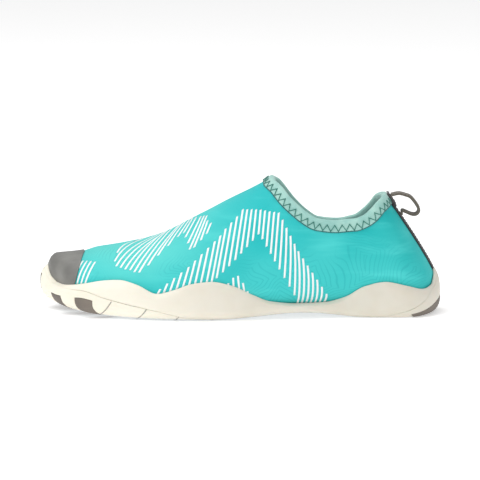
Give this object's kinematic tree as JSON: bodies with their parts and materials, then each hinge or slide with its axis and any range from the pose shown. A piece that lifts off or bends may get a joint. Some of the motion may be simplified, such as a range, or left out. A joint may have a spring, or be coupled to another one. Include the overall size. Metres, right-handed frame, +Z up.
{
  "type": "water shoe",
  "caption": "Left slip-on water shoe: stretch fabric upper with toe cap, collar binding and heel pull loop, on a wavy cupped rubber sole with darker lugs.",
  "frame": {"origin": "on the floor, in the middle of the shoe's length and width", "axes": "+X towards the heel, +Y towards the medial (big toe) side, +Z up"},
  "size_m": [0.262, 0.0982, 0.0892],
  "materials": {
    "stretch_fabric": "matte",
    "binding_fabric": "matte",
    "sole_rubber": "satin",
    "lug_rubber": "matte",
    "cap_film": "satin",
    "webbing": "matte",
    "footbed_foam": "matte"
  },
  "bodies": {
    "root": {"upper": "stretch_fabric", "toe_cap": "cap_film", "collar_binding": "binding_fabric", "heel_tape": "webbing", "pull_loop": "webbing", "midsole": "sole_rubber", "outsole": "sole_rubber", "lug_toe": "lug_rubber", "lug_front": "lug_rubber", "lug_ball": "lug_rubber", "lug_heel": "lug_rubber", "lug_heel_chevron": "lug_rubber", "insole": "footbed_foam"}
  },
  "joints": []
}
